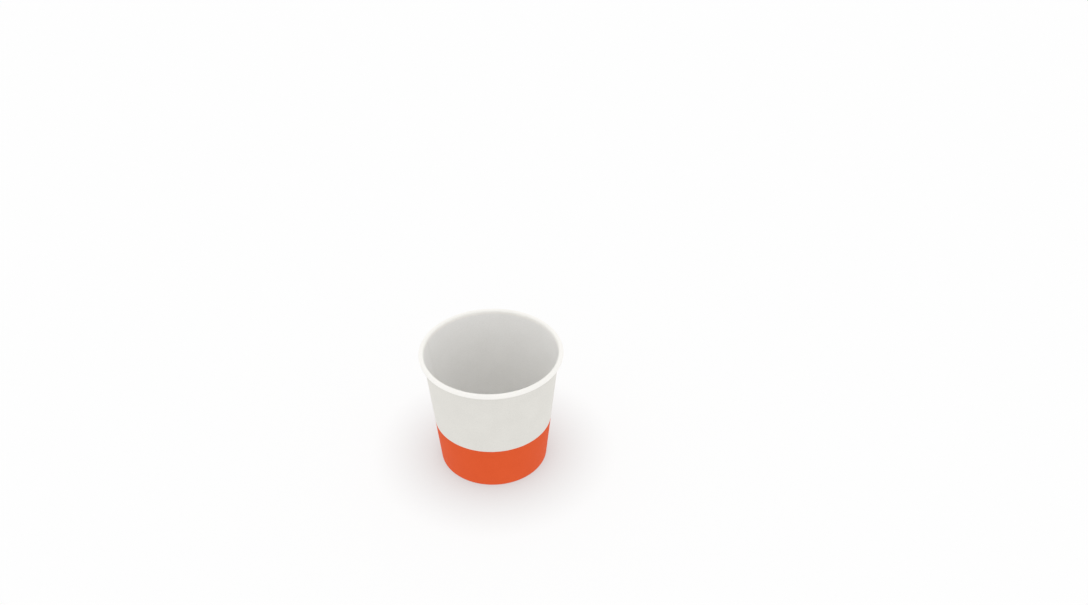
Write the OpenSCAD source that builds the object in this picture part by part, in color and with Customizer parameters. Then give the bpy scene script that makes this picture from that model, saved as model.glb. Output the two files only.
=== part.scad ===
// Paper espresso cup, made from two pieces of coated board: a tapered side wall, wrapped and
// lapped, with a rolled rim and a hemmed foot, and a flanged bottom disc sealed into the hem.
// Millimetres, +Z up, origin on the table at the middle of the foot.

/* [Cup] */
// Outside diameter over the rolled rim
rim_d = 62; // [58:0.5:90]
// Outside diameter of the wall at the table
foot_d = 47.4; // [42:0.2:54]
// Height from the table to the top of the rim
cup_h = 56.5; // [48:0.5:130]

/* [Board] */
// Thickness of the coated board
board_t = 0.32; // [0.24:0.02:0.5]
// Thickness of the melted coating that seals one layer to the next
seal_t = 0.03; // [0.01:0.01:0.08]

/* [Rolled rim] */
// Diameter of the roll, seen in section
roll_d = 2.2; // [1.8:0.1:4]
// Gap between the roll's free edge and the wall
roll_gap = 0.15; // [0.05:0.05:0.4]

/* [Side seam] */
// Width of the lap where the wall's two ends overlap, measured round the foot
lap_w = 6; // [4:0.5:12]
// Direction of the lap's cut edge, in degrees round from +X
seam_dir = 180; // [0:5:355]

/* [Bottom] */
// Height from the table to the underside of the bottom disc
recess_h = 5.5; // [4:0.5:12]
// Outside radius of the bend between the disc and its flange
bend_r = 1; // [0.6:0.1:2]
// Clearance between the hem's top edge and the start of that bend
hem_clear = 0.2; // [0.1:0.1:1.5]
// Outside radius of the two folded corners of the foot
fold_r = 0.35; // [0.1:0.05:0.45]

/* [Print] */
// Height of the coloured band's top edge above the table
band_h = 21.5; // [8:0.5:45]

/* [Hidden] */
$fn = 180;
arc_step = 12;
board_colour = "#F4F1EB";
print_colour = "#E4603A";

// Centre of the roll's section, and the lean of a wall whose outer face is tangent to its inside
roll_r = roll_d / 2;
roll_c = [rim_d / 2 - roll_r, cup_h - roll_r];
foot_to_roll = roll_c - [foot_d / 2, 0];
lean = acos((roll_r - board_t) / norm(foot_to_roll)) - atan2(foot_to_roll.y, foot_to_roll.x);

// Directions in the section, square to the wall and of the roll's free edge
outward = -lean;
inward = 180 - lean;
roll_end = acos((roll_r - board_t - roll_gap) / roll_r) - 180 - lean;

// Depths of the layers' faces, measured square to the wall from its outer face
flange_out = board_t + seal_t;
flange_in = flange_out + board_t;
hem_out = flange_in + seal_t;
hem_in = hem_out + board_t;

// Heights of the disc's top, the start of its bend, its flange's edge and the hem's top edge
disc_top = recess_h + board_t;
bend_z = disc_top - bend_r;
flange_z = board_t + seal_t;
hem_z = bend_z - hem_clear;

// Angle that the lap covers round the axis
lap_a = 360 * lap_w / (PI * foot_d);

// Radius and section point at height z of the cone that lies at a depth inside the wall's outer face
function face_r(z, depth = 0) = foot_d / 2 + z * tan(lean) - depth / cos(lean);
function face_pt(z, depth = 0) = [face_r(z, depth), z];

// Points of an arc from one direction to another
function arc(centre, r, from, to) =
    let (n = ceil(abs(to - from) / arc_step))
    [for (i = [0:n]) let (a = from + (to - from) * i / n) centre + r * [cos(a), sin(a)]];

// Section of the wall: foot, outer face, roll, inner face, and the hem turned up round the flange
module sheet_section() {
    polygon(concat(
        arc(face_pt(fold_r, hem_in - fold_r), fold_r, inward, 270),
        arc(face_pt(fold_r, fold_r), fold_r, 270, 360 + outward),
        arc(roll_c, roll_r - board_t, inward, roll_end),
        arc(roll_c, roll_r, roll_end, inward),
        [for (depth = [board_t, hem_out]) face_pt(board_t, depth)],
        [for (depth = [hem_out, hem_in]) face_pt(hem_z, depth)]
    ));
}

// Section of the bottom disc, bent down into the flange
module disc_section() {
    bend_c = face_pt(bend_z, flange_out + bend_r);
    polygon(concat(
        [[0, disc_top]],
        arc(bend_c, bend_r, 90, outward),
        [for (depth = [flange_out, flange_in]) face_pt(flange_z, depth)],
        arc(bend_c, bend_r - board_t, outward, 90),
        [[0, recess_h]]
    ));
}

// Outer half of the board over the height of the coloured band
module print_section() {
    polygon([
        for (z = [-board_t, band_h]) face_pt(z, -board_t),
        for (z = [band_h, -board_t]) face_pt(z, board_t / 2)
    ]);
}

// Solid cone between two heights, with its side at a depth inside the wall's outer face
module cone(z0, z1, depth) {
    translate([0, 0, z0])
        cylinder(h = z1 - z0, r1 = face_r(z0, depth), r2 = face_r(z1, depth));
}

// Outer end of the wall, which rises over the inner end and stops in a cut edge one board thick
module lap(z0, z1) {
    rotate(seam_dir) intersection() {
        difference() {
            translate([board_t, board_t / tan(lap_a), 0]) cone(z0, z1, 0);
            cone(z0, z1, board_t / 2);
        }
        translate([0, 0, z0])
            linear_extrude(z1 - z0) polygon([[0, 0], rim_d * [cos(lap_a), -sin(lap_a)], [rim_d, 0]]);
    }
}

module side_wall() {
    color(board_colour) {
        rotate_extrude() difference() {
            sheet_section();
            print_section();
        }
        lap(band_h, cup_h - roll_d);
    }
    color(print_colour) {
        rotate_extrude() intersection() {
            sheet_section();
            print_section();
        }
        lap(fold_r, band_h);
    }
}

module bottom_disc() {
    color(board_colour) rotate_extrude() disc_section();
}

side_wall();
bottom_disc();
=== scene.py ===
import math
import bpy
import numpy as np
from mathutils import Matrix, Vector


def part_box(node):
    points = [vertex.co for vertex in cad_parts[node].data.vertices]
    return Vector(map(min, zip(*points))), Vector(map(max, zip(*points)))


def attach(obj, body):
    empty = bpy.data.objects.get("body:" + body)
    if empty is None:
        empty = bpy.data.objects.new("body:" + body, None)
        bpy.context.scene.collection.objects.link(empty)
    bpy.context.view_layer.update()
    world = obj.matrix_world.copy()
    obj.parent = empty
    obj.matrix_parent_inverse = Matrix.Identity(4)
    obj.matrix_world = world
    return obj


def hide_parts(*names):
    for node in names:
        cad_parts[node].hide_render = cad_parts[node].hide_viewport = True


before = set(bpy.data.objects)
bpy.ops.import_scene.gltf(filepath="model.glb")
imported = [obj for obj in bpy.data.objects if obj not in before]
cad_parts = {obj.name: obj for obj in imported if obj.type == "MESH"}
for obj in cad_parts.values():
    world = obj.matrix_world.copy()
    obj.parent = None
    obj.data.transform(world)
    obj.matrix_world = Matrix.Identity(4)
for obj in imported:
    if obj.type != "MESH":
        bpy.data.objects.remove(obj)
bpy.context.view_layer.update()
mm = 0.001

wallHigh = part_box("side_wall")[1]
discLow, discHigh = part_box("bottom_disc")
cupHeight = wallHigh.z
rimRadius = min(wallHigh.x, wallHigh.y)
print("frame loaded: cup", round(cupHeight / mm, 2), "mm high,",
      round(2 * rimRadius / mm, 2), "mm over the rim")

# camera: stands where the photograph's does, looking along +Y and down
view = {
    "place": (0.0226, -0.3802, 0.3499),  # metres
    "lookDown": 35.25,                   # degrees below the horizon
    "lens": 37.215,                      # mm
    "sensor": 36.0,                      # mm wide
    "sees": (0.01, 20.0),                # nearest and farthest, metres
}


def placeCamera():
    data = bpy.data.cameras.new("studioCamera")
    data.lens = view["lens"]
    data.sensor_width = view["sensor"]
    data.sensor_fit = "HORIZONTAL"
    data.clip_start, data.clip_end = view["sees"]
    camera = bpy.data.objects.new("studioCamera", data)
    camera.location = view["place"]
    camera.rotation_euler = (math.radians(90 - view["lookDown"]), 0, 0)
    bpy.context.scene.collection.objects.link(camera)
    bpy.context.scene.camera = camera


placeCamera()
print("camera placed")


def screenColour(red, green, blue):
    # a colour as it looks on a screen, 0 to 255, turned into linear light
    c = np.array((red, green, blue)) / 255
    low = c / 12.92
    high = ((c + 0.055) / 1.055) ** 2.4
    return (*np.where(c <= 0.04045, low, high).tolist(), 1.0)


def spread(nodes, links, value, low, high, toLow, toHigh):
    # carries a value's range low to high over to toLow to toHigh
    reach = nodes.new("ShaderNodeMapRange")
    reach.inputs["From Min"].default_value = low
    reach.inputs["From Max"].default_value = high
    reach.inputs["To Min"].default_value = toLow
    reach.inputs["To Max"].default_value = toHigh
    links.new(value, reach.inputs["Value"])
    return reach.outputs["Result"]


def combine(nodes, links, operation, first, second):
    maths = nodes.new("ShaderNodeMath")
    maths.operation = operation
    links.new(first, maths.inputs[0])
    links.new(second, maths.inputs[1])
    return maths.outputs[0]


# grain that all the board's finishes share: fine fibres that lie level, over soft clouds
grain = {
    "cloudDetail": 3,
    "fibreDetail": 4,
    "stretch": (1, 1, 3),        # fibres are about three times as long as they are high
    "cloudShare": (0.35, 0.65),  # clouds are flattened to this range, so that fibres count for more
    "toneReach": (0.75, 1.25),   # sums of clouds and fibres that give the darkest and the lightest tone
    "roughReach": (0.3, 0.7),    # fibre values that give the smoothest and the roughest spots
    "depth": 0.03 * mm,          # relief of the fibres at a bump of 1
}


def makeBoardGrain():
    # puts out a tone of clouds and fibres together, 0 to 1, and the fibres alone
    group = bpy.data.node_groups.new("boardGrain", "ShaderNodeTree")
    face = group.interface
    face.new_socket("Place", in_out="INPUT", socket_type="NodeSocketVector")
    face.new_socket("Cloud Size", in_out="INPUT", socket_type="NodeSocketFloat")
    face.new_socket("Fibre Size", in_out="INPUT", socket_type="NodeSocketFloat")
    face.new_socket("Tone", in_out="OUTPUT", socket_type="NodeSocketFloat")
    face.new_socket("Fibres", in_out="OUTPUT", socket_type="NodeSocketFloat")
    nodes = group.nodes
    links = group.links
    start = nodes.new("NodeGroupInput")
    end = nodes.new("NodeGroupOutput")

    def noise(place, size, detail):
        scale = nodes.new("ShaderNodeMath")  # one over the size of a patch, in metres
        scale.operation = "DIVIDE"
        scale.inputs[0].default_value = 1
        links.new(size, scale.inputs[1])
        texture = nodes.new("ShaderNodeTexNoise")
        texture.inputs["Detail"].default_value = detail
        links.new(place, texture.inputs["Vector"])
        links.new(scale.outputs[0], texture.inputs["Scale"])
        return texture.outputs["Fac"]

    level = nodes.new("ShaderNodeVectorMath")
    level.operation = "MULTIPLY"
    level.inputs[1].default_value = grain["stretch"]
    links.new(start.outputs["Place"], level.inputs[0])
    clouds = noise(start.outputs["Place"], start.outputs["Cloud Size"], grain["cloudDetail"])
    fibres = noise(level.outputs[0], start.outputs["Fibre Size"], grain["fibreDetail"])
    faint = spread(nodes, links, clouds, 0, 1, *grain["cloudShare"])
    both = combine(nodes, links, "ADD", faint, fibres)
    links.new(spread(nodes, links, both, *grain["toneReach"], 0, 1), end.inputs["Tone"])
    links.new(fibres, end.inputs["Fibres"])
    return group


boardGrain = makeBoardGrain()

# the board's finishes: colours, sizes of clouds and fibres, range of roughness, gloss and bump
finishes = {
    # partly painted shade: the printed wall's colours are darker than the white board's own, at the level
    # of a wall in shade
    "printedBoard": {
        "light": (234, 232, 226), "dark": (220, 218, 212), "cloud": 9 * mm, "fibre": 0.45 * mm,
        "rough": (0.7, 0.85), "gloss": 0.07, "bump": 0.3,
    },
    "coatedBoard": {
        "light": (246, 245, 243), "dark": (236, 235, 232), "cloud": 9 * mm, "fibre": 0.6 * mm,
        "rough": (0.36, 0.5), "gloss": 0.3, "bump": 0.16,
    },
    "bareBoard": {
        "light": (238, 235, 229), "dark": (225, 221, 213), "cloud": 4 * mm, "fibre": 0.4 * mm,
        "rough": (0.74, 0.86), "gloss": 0.1, "bump": 0.4,
    },
    "cutEdge": {
        "light": (243, 240, 233), "dark": (230, 225, 214), "cloud": 0.6 * mm, "fibre": 0.12 * mm,
        "rough": (0.82, 0.94), "gloss": 0.1, "bump": 0.5,
    },
}

# the colour band round the lower wall
ink = {
    # partly painted shade: the band's colours are darker than the ink's own, at the level of a band in
    # shade
    "light": (231, 94, 48),
    "dark": (220, 84, 39),
    "top": 21.5 * mm,             # height of its upper edge
    "blur": 0.03 * mm,            # softness of that edge
    "wander": 0.05 * mm,          # how far the edge strays up and down
    "wanderSize": 2 * mm,
    "wanderReach": (0.25, 0.75),  # noise values at which it strays furthest
}

# the rolled rim, painted whiter than the wall: a painted highlight along the roll
paintedRimHighlight = {
    "light": (253, 251, 247),
    "dark": (247, 245, 240),
    "low": cupHeight - 2.2 * mm,   # it begins here,
    "full": cupHeight - 1.2 * mm,  # and is complete here
}


def mixColours(nodes, links, factor, first, second):
    mix = nodes.new("ShaderNodeMix")
    mix.data_type = "RGBA"
    links.new(factor, mix.inputs["Factor"])
    for socket, colour in ((mix.inputs[6], first), (mix.inputs[7], second)):  # its two colour sockets
        if isinstance(colour, tuple):
            socket.default_value = screenColour(*colour)
        else:
            links.new(colour, socket)
    return mix.outputs[2]


def heightOf(nodes, links, place):
    split = nodes.new("ShaderNodeSeparateXYZ")
    links.new(place, split.inputs[0])
    return split.outputs["Z"]


def inkMask(nodes, links, place):
    # 1 below the band's top edge and 0 above it, where the edge strays by a little noise
    stray = nodes.new("ShaderNodeTexNoise")
    stray.inputs["Scale"].default_value = 1 / ink["wanderSize"]
    links.new(place, stray.inputs["Vector"])
    shift = spread(nodes, links, stray.outputs["Fac"], *ink["wanderReach"], -ink["wander"], ink["wander"])
    height = combine(nodes, links, "ADD", heightOf(nodes, links, place), shift)
    return spread(nodes, links, height, ink["top"] - ink["blur"], ink["top"] + ink["blur"], 1, 0)


def paintedRimHighlightMask(nodes, links, place):
    # mask of the painted highlight: 0 on the wall, rising to 1 on the roll
    return spread(nodes, links, heightOf(nodes, links, place), paintedRimHighlight["low"], paintedRimHighlight["full"], 0, 1)


def makeFinish(name, layer=None, mask=None):
    # board with its grain, and over it a layer of another colour where that layer's mask is 1
    finish = finishes[name]
    material = bpy.data.materials.new(name)
    material.use_nodes = True
    nodes = material.node_tree.nodes
    links = material.node_tree.links
    shader = nodes["Principled BSDF"]
    shader.inputs["Specular IOR Level"].default_value = finish["gloss"]
    place = nodes.new("ShaderNodeTexCoord").outputs["Object"]
    board = nodes.new("ShaderNodeGroup")
    board.node_tree = boardGrain
    board.inputs["Cloud Size"].default_value = finish["cloud"]
    board.inputs["Fibre Size"].default_value = finish["fibre"]
    links.new(place, board.inputs["Place"])
    tone = board.outputs["Tone"]
    fibres = board.outputs["Fibres"]
    colour = mixColours(nodes, links, tone, finish["dark"], finish["light"])
    if layer:
        over = mixColours(nodes, links, tone, layer["dark"], layer["light"])
        colour = mixColours(nodes, links, mask(nodes, links, place), colour, over)
    links.new(colour, shader.inputs["Base Color"])
    rough = spread(nodes, links, fibres, *grain["roughReach"], *finish["rough"])
    links.new(rough, shader.inputs["Roughness"])
    bump = nodes.new("ShaderNodeBump")
    bump.inputs["Strength"].default_value = finish["bump"]
    bump.inputs["Distance"].default_value = grain["depth"]
    links.new(fibres, bump.inputs["Height"])
    links.new(bump.outputs["Normal"], shader.inputs["Normal"])
    return material


printedBoard = makeFinish("printedBoard", ink, inkMask)
# the coated board, whitened on the roll by the painted highlight
coatedBoard = makeFinish("coatedBoard", paintedRimHighlight, paintedRimHighlightMask)
bareBoard = makeFinish("bareBoard")
cutEdge = makeFinish("cutEdge")
print("finishes mixed")

sharpAngle = 32  # degrees, above which an edge is shaded sharp


def smoothStep(value, low, high):
    # 0 below low, 1 above high, and an even S between them
    t = np.clip((value - low) / (high - low), 0, 1)
    return t * t * (3 - 2 * t)


def arc(centre, radius, start, stop, count):
    # centre plus radius in every direction from start to stop degrees, and those directions
    a = np.radians(np.linspace(start, stop, count))
    direction = np.stack((np.cos(a), np.sin(a)), axis=1)
    return np.array(centre) + radius * direction, direction


def between(first, last, count):
    # evenly spaced points from first to last, without those two
    t = np.linspace(0, 1, count + 2)[1:-1, None]
    return first + t * (last - first)


def turnRound(section, angles):
    # carries (radius, height) points round the cup's axis, to a grid of points for each angle
    a = np.radians(angles)
    radius = section[..., 0]
    return np.stack((radius * np.cos(a), radius * np.sin(a), section[..., 1] + 0 * a), axis=-1)


def meshPiece(name, points, patches):
    # one closed mesh from arrays: its points, and its faces in patches, each with its material
    mesh = bpy.data.meshes.new(name)
    mesh.from_pydata(points.tolist(), [], sum([faces.tolist() for faces, material in patches], []))
    materials = list(dict.fromkeys(material for faces, material in patches))
    for material in materials:
        mesh.materials.append(material)
    slots = [np.full(len(faces), materials.index(material)) for faces, material in patches]
    mesh.polygons.foreach_set("material_index", np.concatenate(slots).astype(np.int32))
    mesh.shade_smooth()
    mesh.set_sharp_from_angle(angle=math.radians(sharpAngle))
    piece = bpy.data.objects.new(name, mesh)
    bpy.context.scene.collection.objects.link(piece)
    return piece


# side wall: one fan of board, wrapped and lapped, its top edge rolled out and its bottom edge hemmed in
wall = {
    "footRadius": 23.7 * mm,
    "board": 0.32 * mm,
    "seal": 0.03 * mm,       # coating that seals the layers of the foot
    "rollRadius": 1.1 * mm,
    "rollGap": 0.15 * mm,    # from the roll's free edge to the wall
    "foldRadius": 0.35 * mm,
    "hemTop": 4.62 * mm,
    "seam": 180.0,           # direction of the lap's cut edge, degrees from +X
    "lapWidth": 6 * mm,      # overlap, round the foot
    "lapGap": 0.02 * mm,     # glue line between the two layers of the lap
    "jogWidth": 3.5 * mm,    # where the outer layer climbs over the inner one's end,
    "jogTop": 0.5 * mm,      # pressed this narrow below the roll,
    "jogTaper": 12 * mm,     # over this height
    "jogClear": 0.12 * mm,   # the climb is complete this far before the lap
    "hairline": 0.03 * mm,   # between the two ends where they butt, on the roll and at the foot
    "sealHeight": 3 * mm,    # below this the inner layer is cut away, so the foot stays one board thick
    "sinkHeight": 0.3 * mm,  # above the lap the outer layer sinks back to the wall within this
    "hemRows": 4,            # rows of points along the section, from the hem's edge to the roll's
    "foldRows": 9,
    "footRows": 1,
    "wallRows": 28,
    "neckRows": 9,
    "rollRows": 40,
    "columns": 380,          # columns round the single wall, and round the jog
    "jogColumns": 24,
}

# the wall leans so that its outer face is tangent to the inside of the roll
rollCentre = np.array((rimRadius - wall["rollRadius"], cupHeight - wall["rollRadius"]))
rollInside = wall["rollRadius"] - wall["board"]
toRoll = rollCentre - (wall["footRadius"], 0)
lean = math.acos(rollInside / np.hypot(*toRoll)) - math.atan2(toRoll[1], toRoll[0])
outward = -math.degrees(lean)
inward = 180 + outward
lapTop = cupHeight - 2 * wall["rollRadius"]
hemZone, wallZone, neckZone, rollZone = range(4)  # stretches of the section; the neck is behind the roll


def facePoint(z, depth=0.0):
    # point of the section at height z, on the cone at a depth inside the wall's outer face
    return np.array((wall["footRadius"] + z * math.tan(lean) - depth / math.cos(lean), z))


def wallSection():
    # the printed face in section, hem edge to roll edge: straight runs joined by arcs round the two
    # folds of the foot and round the roll, with the direction that this face looks in at each point,
    # and the zone of each point
    fold = wall["foldRadius"]
    foldRows = wall["foldRows"]
    hemDepth = 3 * wall["board"] + 2 * wall["seal"]
    rollStop = math.degrees(math.acos((rollInside - wall["rollGap"]) / wall["rollRadius"])) - 180 + outward
    innerFold, innerLook = arc(facePoint(fold, hemDepth - fold), fold, inward, 270, foldRows)
    outerFold, outerLook = arc(facePoint(fold, fold), fold, 270, 360 + outward, foldRows)
    roll, rollLook = arc(rollCentre, rollInside, inward, rollStop, wall["rollRows"])
    hemEdge = facePoint(wall["hemTop"], hemDepth)
    lapEdge = facePoint(lapTop)
    hemRun = np.vstack((hemEdge, between(hemEdge, innerFold[0], wall["hemRows"])))
    footRun = between(innerFold[-1], outerFold[0], wall["footRows"])
    wallRun = np.vstack((between(outerFold[-1], lapEdge, wall["wallRows"]), lapEdge))
    neckRun = between(lapEdge, roll[0], wall["neckRows"])
    runs = [
        (hemRun, innerLook[0], hemZone),
        (innerFold, innerLook, hemZone),
        (footRun, outerLook[0], hemZone),
        (outerFold, outerLook, hemZone),
        (wallRun, outerLook[-1], wallZone),
        (neckRun, outerLook[-1], neckZone),
        (roll, -rollLook, rollZone),
    ]
    points = np.vstack([run for run, look, zone in runs])
    looks = np.vstack([np.broadcast_to(look, run.shape) for run, look, zone in runs])
    zones = np.concatenate([np.full(len(run), zone) for run, look, zone in runs])
    return points, looks, zones


def boardFaces(keep):
    # keep tells which cells of the grid the board fills: quads for its two faces, and a strip of cut
    # edge along each border of those cells, where the cell beside it is missing
    rows, columns = keep.shape
    index = np.arange((rows + 1) * (columns + 1)).reshape(rows + 1, columns + 1)
    corner = [index[:-1, :-1], index[:-1, 1:], index[1:, 1:], index[1:, :-1]]
    around = np.pad(keep, 1)
    beside = [around[:-2, 1:-1], around[1:-1, 2:], around[2:, 1:-1], around[1:-1, :-2]]
    front = np.stack([c[keep] for c in corner], axis=1)
    back = front[:, ::-1] + index.size
    edges = []
    for side in range(4):
        border = keep & ~beside[side]
        a = corner[side][border]
        b = corner[(side + 1) % 4][border]
        edges.append(np.stack((b, a, a + index.size, b + index.size), axis=1))
    return front, back, np.vstack(edges)


def makeSideWall():
    # the section carried round the axis from the board's inner end to its outer end, a little over one turn
    points, looks, zones = wallSection()
    height = points[:, 1]
    lapAngle = math.degrees(wall["lapWidth"] / wall["footRadius"])
    hair = math.degrees(wall["hairline"] / rimRadius)
    innerStop = wall["seam"] + hair
    outerStop = wall["seam"] + 360
    lapStart = outerStop - lapAngle
    narrow = smoothStep(height, lapTop - wall["jogTaper"], lapTop)
    jogWidth = wall["jogWidth"] + narrow * (wall["jogTop"] - wall["jogWidth"])
    jogStart = lapStart - np.degrees(jogWidth / wall["footRadius"])
    jogStop = lapStart - math.degrees(wall["jogClear"] / rimRadius)
    lapColumns = round(wall["columns"] * lapAngle / 360)
    inner = np.linspace(innerStop - lapAngle, innerStop, lapColumns, endpoint=False)
    single = np.linspace(innerStop, jogStart.min(), wall["columns"], endpoint=False)
    jog = np.linspace(jogStart.min(), lapStart, wall["jogColumns"], endpoint=False)
    outer = np.linspace(lapStart, outerStop, lapColumns)
    angles = np.concatenate((inner, single, jog, outer))

    # the outer end climbs by one board and the glue line before it meets the inner end, over the height
    # of the lap, and sinks back to the plain wall at the foot and behind the roll
    climb = smoothStep(angles, jogStart[:, None], jogStop)
    rise = smoothStep(height, wall["foldRadius"], wall["sealHeight"])
    rise = rise * (1 - smoothStep(height, lapTop, lapTop + wall["sinkHeight"]))
    rise[(zones == hemZone) | (zones == rollZone)] = 0
    offset = (wall["board"] + wall["lapGap"]) * rise[:, None] * climb
    printedFace = points[:, None] + offset[..., None] * looks[:, None]
    coatedFace = printedFace - wall["board"] * looks[:, None]
    grid = np.stack((turnRound(printedFace, angles), turnRound(coatedFace, angles)))

    # two corners of the board are cut away, so that only the wall is two boards thick
    keep = np.ones((len(points) - 1, len(angles) - 1), bool)
    footCells = (zones[:-1] == hemZone) | (height[:-1] < wall["sealHeight"])
    keep[np.ix_(footCells, angles[:-1] < innerStop - hair / 2)] = False
    keep[np.ix_(zones[1:] >= neckZone, angles[:-1] > lapStart - hair / 2)] = False
    front, back, edges = boardFaces(keep)

    used, renumber = np.unique(np.concatenate((front, back, edges)), return_inverse=True)
    faces = np.split(renumber.reshape(-1, 4), [len(front), len(front) + len(back)])
    patches = list(zip(faces, (printedBoard, coatedBoard, cutEdge)))
    return meshPiece("sideWall", grid.reshape(-1, 3)[used], patches)


sideWall = makeSideWall()
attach(sideWall, "root")
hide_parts("side_wall")
print("side wall wrapped:", len(sideWall.data.polygons), "faces")

# bottom disc: one round of board, its margin bent down into a flange that the hem holds
disc = {
    "bendRadius": 1 * mm,  # outside of the bend
    "columns": 360,
    "rings": 14,           # rows from the middle to the bend
    "bendRows": 12,
    "flangeRows": 4,
}


def discSection():
    # the top face from the middle over the bend to the flange's edge, and the under face from there back
    board = wall["board"]
    bend = disc["bendRadius"]
    flangeDepth = board + wall["seal"]
    centre = facePoint(discHigh.z - bend, flangeDepth + bend)
    outerBend = arc(centre, bend, 90, outward, disc["bendRows"])[0]
    innerBend = arc(centre, bend - board, outward, 90, disc["bendRows"])[0]
    flangeOut = facePoint(discLow.z, flangeDepth)
    flangeIn = facePoint(discLow.z, flangeDepth + board)
    top = np.array((0, discHigh.z))
    under = np.array((0, discHigh.z - board))
    topRun = between(top, outerBend[0], disc["rings"])
    outerRun = between(outerBend[-1], flangeOut, disc["flangeRows"])
    innerRun = between(flangeIn, innerBend[0], disc["flangeRows"])
    underRun = between(innerBend[-1], under, disc["rings"])
    upper = np.vstack((top, topRun, outerBend, outerRun, flangeOut))
    lower = np.vstack((flangeIn, innerRun, innerBend, underRun, under))
    return upper, lower


def makeBottomDisc():
    # the section turned round the axis; its first and last points are single poles, closed by fans
    upper, lower = discSection()
    section = np.vstack((upper, lower))
    angles = np.arange(disc["columns"]) * 360 / disc["columns"]
    rings = turnRound(section[1:-1, None], angles)
    points = np.vstack((rings.reshape(-1, 3), (0, 0, upper[0, 1]), (0, 0, lower[-1, 1])))
    index = np.arange(rings.shape[0] * rings.shape[1]).reshape(rings.shape[:2])
    after = np.roll(index, -1, axis=1)
    quads = np.stack((index[:-1], index[1:], after[1:], after[:-1]), axis=-1)
    topPole = np.full(disc["columns"], index.size)
    edgeRow = len(upper) - 2  # between the flange's outer and inner corners
    patches = [
        (np.stack((topPole, index[0], after[0]), axis=1), coatedBoard),
        (quads[:edgeRow].reshape(-1, 4), coatedBoard),
        (quads[edgeRow + 1:].reshape(-1, 4), bareBoard),
        (np.stack((topPole + 1, after[-1], index[-1]), axis=1), bareBoard),
        (quads[edgeRow], cutEdge),
    ]
    return meshPiece("bottomDisc", points, patches)


bottomDisc = makeBottomDisc()
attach(bottomDisc, "root")
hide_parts("bottom_disc")
print("bottom disc pressed:", len(bottomDisc.data.polygons), "faces")

# studio: a wide white floor, a dome of light that is a little dimmer below, and a soft lamp high above
studio = {
    "floorHalf": 6.0,               # metres, half of the floor's width
    "floorDrop": 0.02 * mm,         # it lies this far below the foot
    "floorWhite": (252, 252, 252),  # colour of its matt share
    "shadowReach": 0.032,           # metres, how far off the cup still darkens the floor
    "shadowDepth": 0.65,            # share of light lost where the dome is wholly shut out
    "shadowTint": 0.25,             # matt share, which takes the cup's colour and the lamp's shadow
    "dome": 0.97,
    "bounce": 0.95,                 # the dome's lower half, which stands for the floor's light on the cup
    "horizon": 0.05,                # blend between the two halves
    "lamp": 0.08,
    "lampSpread": 80,               # degrees across, seen from the cup
    "lampTilt": (-14, -8),          # degrees about X and Y
}


def floorMaterial():
    # plain white, darker where the cup shuts out the dome, with a matt share that takes the cup's colour;
    # from below it is clear, so that the foot can be looked at
    material = bpy.data.materials.new("studioFloor")
    material.use_nodes = True
    nodes = material.node_tree.nodes
    links = material.node_tree.links
    nodes.remove(nodes["Principled BSDF"])

    def choose(factor, first, second):
        mix = nodes.new("ShaderNodeMixShader")
        if isinstance(factor, float):
            mix.inputs[0].default_value = factor
        else:
            links.new(factor, mix.inputs[0])
        links.new(first.outputs[0], mix.inputs[1])
        links.new(second.outputs[0], mix.inputs[2])
        return mix

    shut = nodes.new("ShaderNodeAmbientOcclusion")
    shut.inputs["Distance"].default_value = studio["shadowReach"]
    glow = nodes.new("ShaderNodeEmission")
    level = spread(nodes, links, shut.outputs["AO"], 0, 1, 1 - studio["shadowDepth"], 1)
    links.new(level, glow.inputs["Strength"])
    matt = nodes.new("ShaderNodeBsdfDiffuse")
    matt.inputs["Color"].default_value = screenColour(*studio["floorWhite"])
    above = choose(studio["shadowTint"], glow, matt)
    side = nodes.new("ShaderNodeNewGeometry")
    both = choose(side.outputs["Backfacing"], above, nodes.new("ShaderNodeBsdfTransparent"))
    links.new(both.outputs[0], nodes["Material Output"].inputs["Surface"])
    return material


def makeFloor():
    # one square, level and centred under the cup
    half = studio["floorHalf"]
    corners = half * np.array(((-1, -1), (1, -1), (1, 1), (-1, 1)))
    points = np.column_stack((corners, np.full(4, -studio["floorDrop"])))
    mesh = bpy.data.meshes.new("studioFloor")
    mesh.from_pydata(points.tolist(), [], [(0, 1, 2, 3)])
    mesh.materials.append(floorMaterial())
    floor = bpy.data.objects.new("studioFloor", mesh)
    floor.visible_diffuse = False  # the dome's lower half lights the cup in its place,
    floor.visible_shadow = False   # and reaches the underside through it
    bpy.context.scene.collection.objects.link(floor)


def lightStudio():
    # the dome lights at its own levels, and shows as plain white where it is seen
    world = bpy.data.worlds.new("studioDome")
    bpy.context.scene.world = world
    world.use_nodes = True
    nodes = world.node_tree.nodes
    links = world.node_tree.links
    up = heightOf(nodes, links, nodes.new("ShaderNodeTexCoord").outputs["Generated"])
    blend = studio["horizon"]
    level = spread(nodes, links, up, -blend, blend, studio["bounce"], studio["dome"])
    path = nodes.new("ShaderNodeLightPath")
    for ray in ("Is Camera Ray", "Is Glossy Ray", "Is Transmission Ray"):
        level = combine(nodes, links, "MAXIMUM", level, path.outputs[ray])
    background = nodes["Background"]
    background.inputs["Color"].default_value = (1, 1, 1, 1)
    links.new(level, background.inputs["Strength"])

    lampData = bpy.data.lights.new("softLamp", "SUN")
    lampData.energy = studio["lamp"]
    lampData.angle = math.radians(studio["lampSpread"])
    lamp = bpy.data.objects.new("softLamp", lampData)
    tiltX, tiltY = studio["lampTilt"]
    lamp.rotation_euler = (math.radians(tiltX), math.radians(tiltY), 0)
    bpy.context.scene.collection.objects.link(lamp)


makeFloor()
lightStudio()
bpy.context.scene.view_settings.view_transform = "Standard"
print("studio lit")
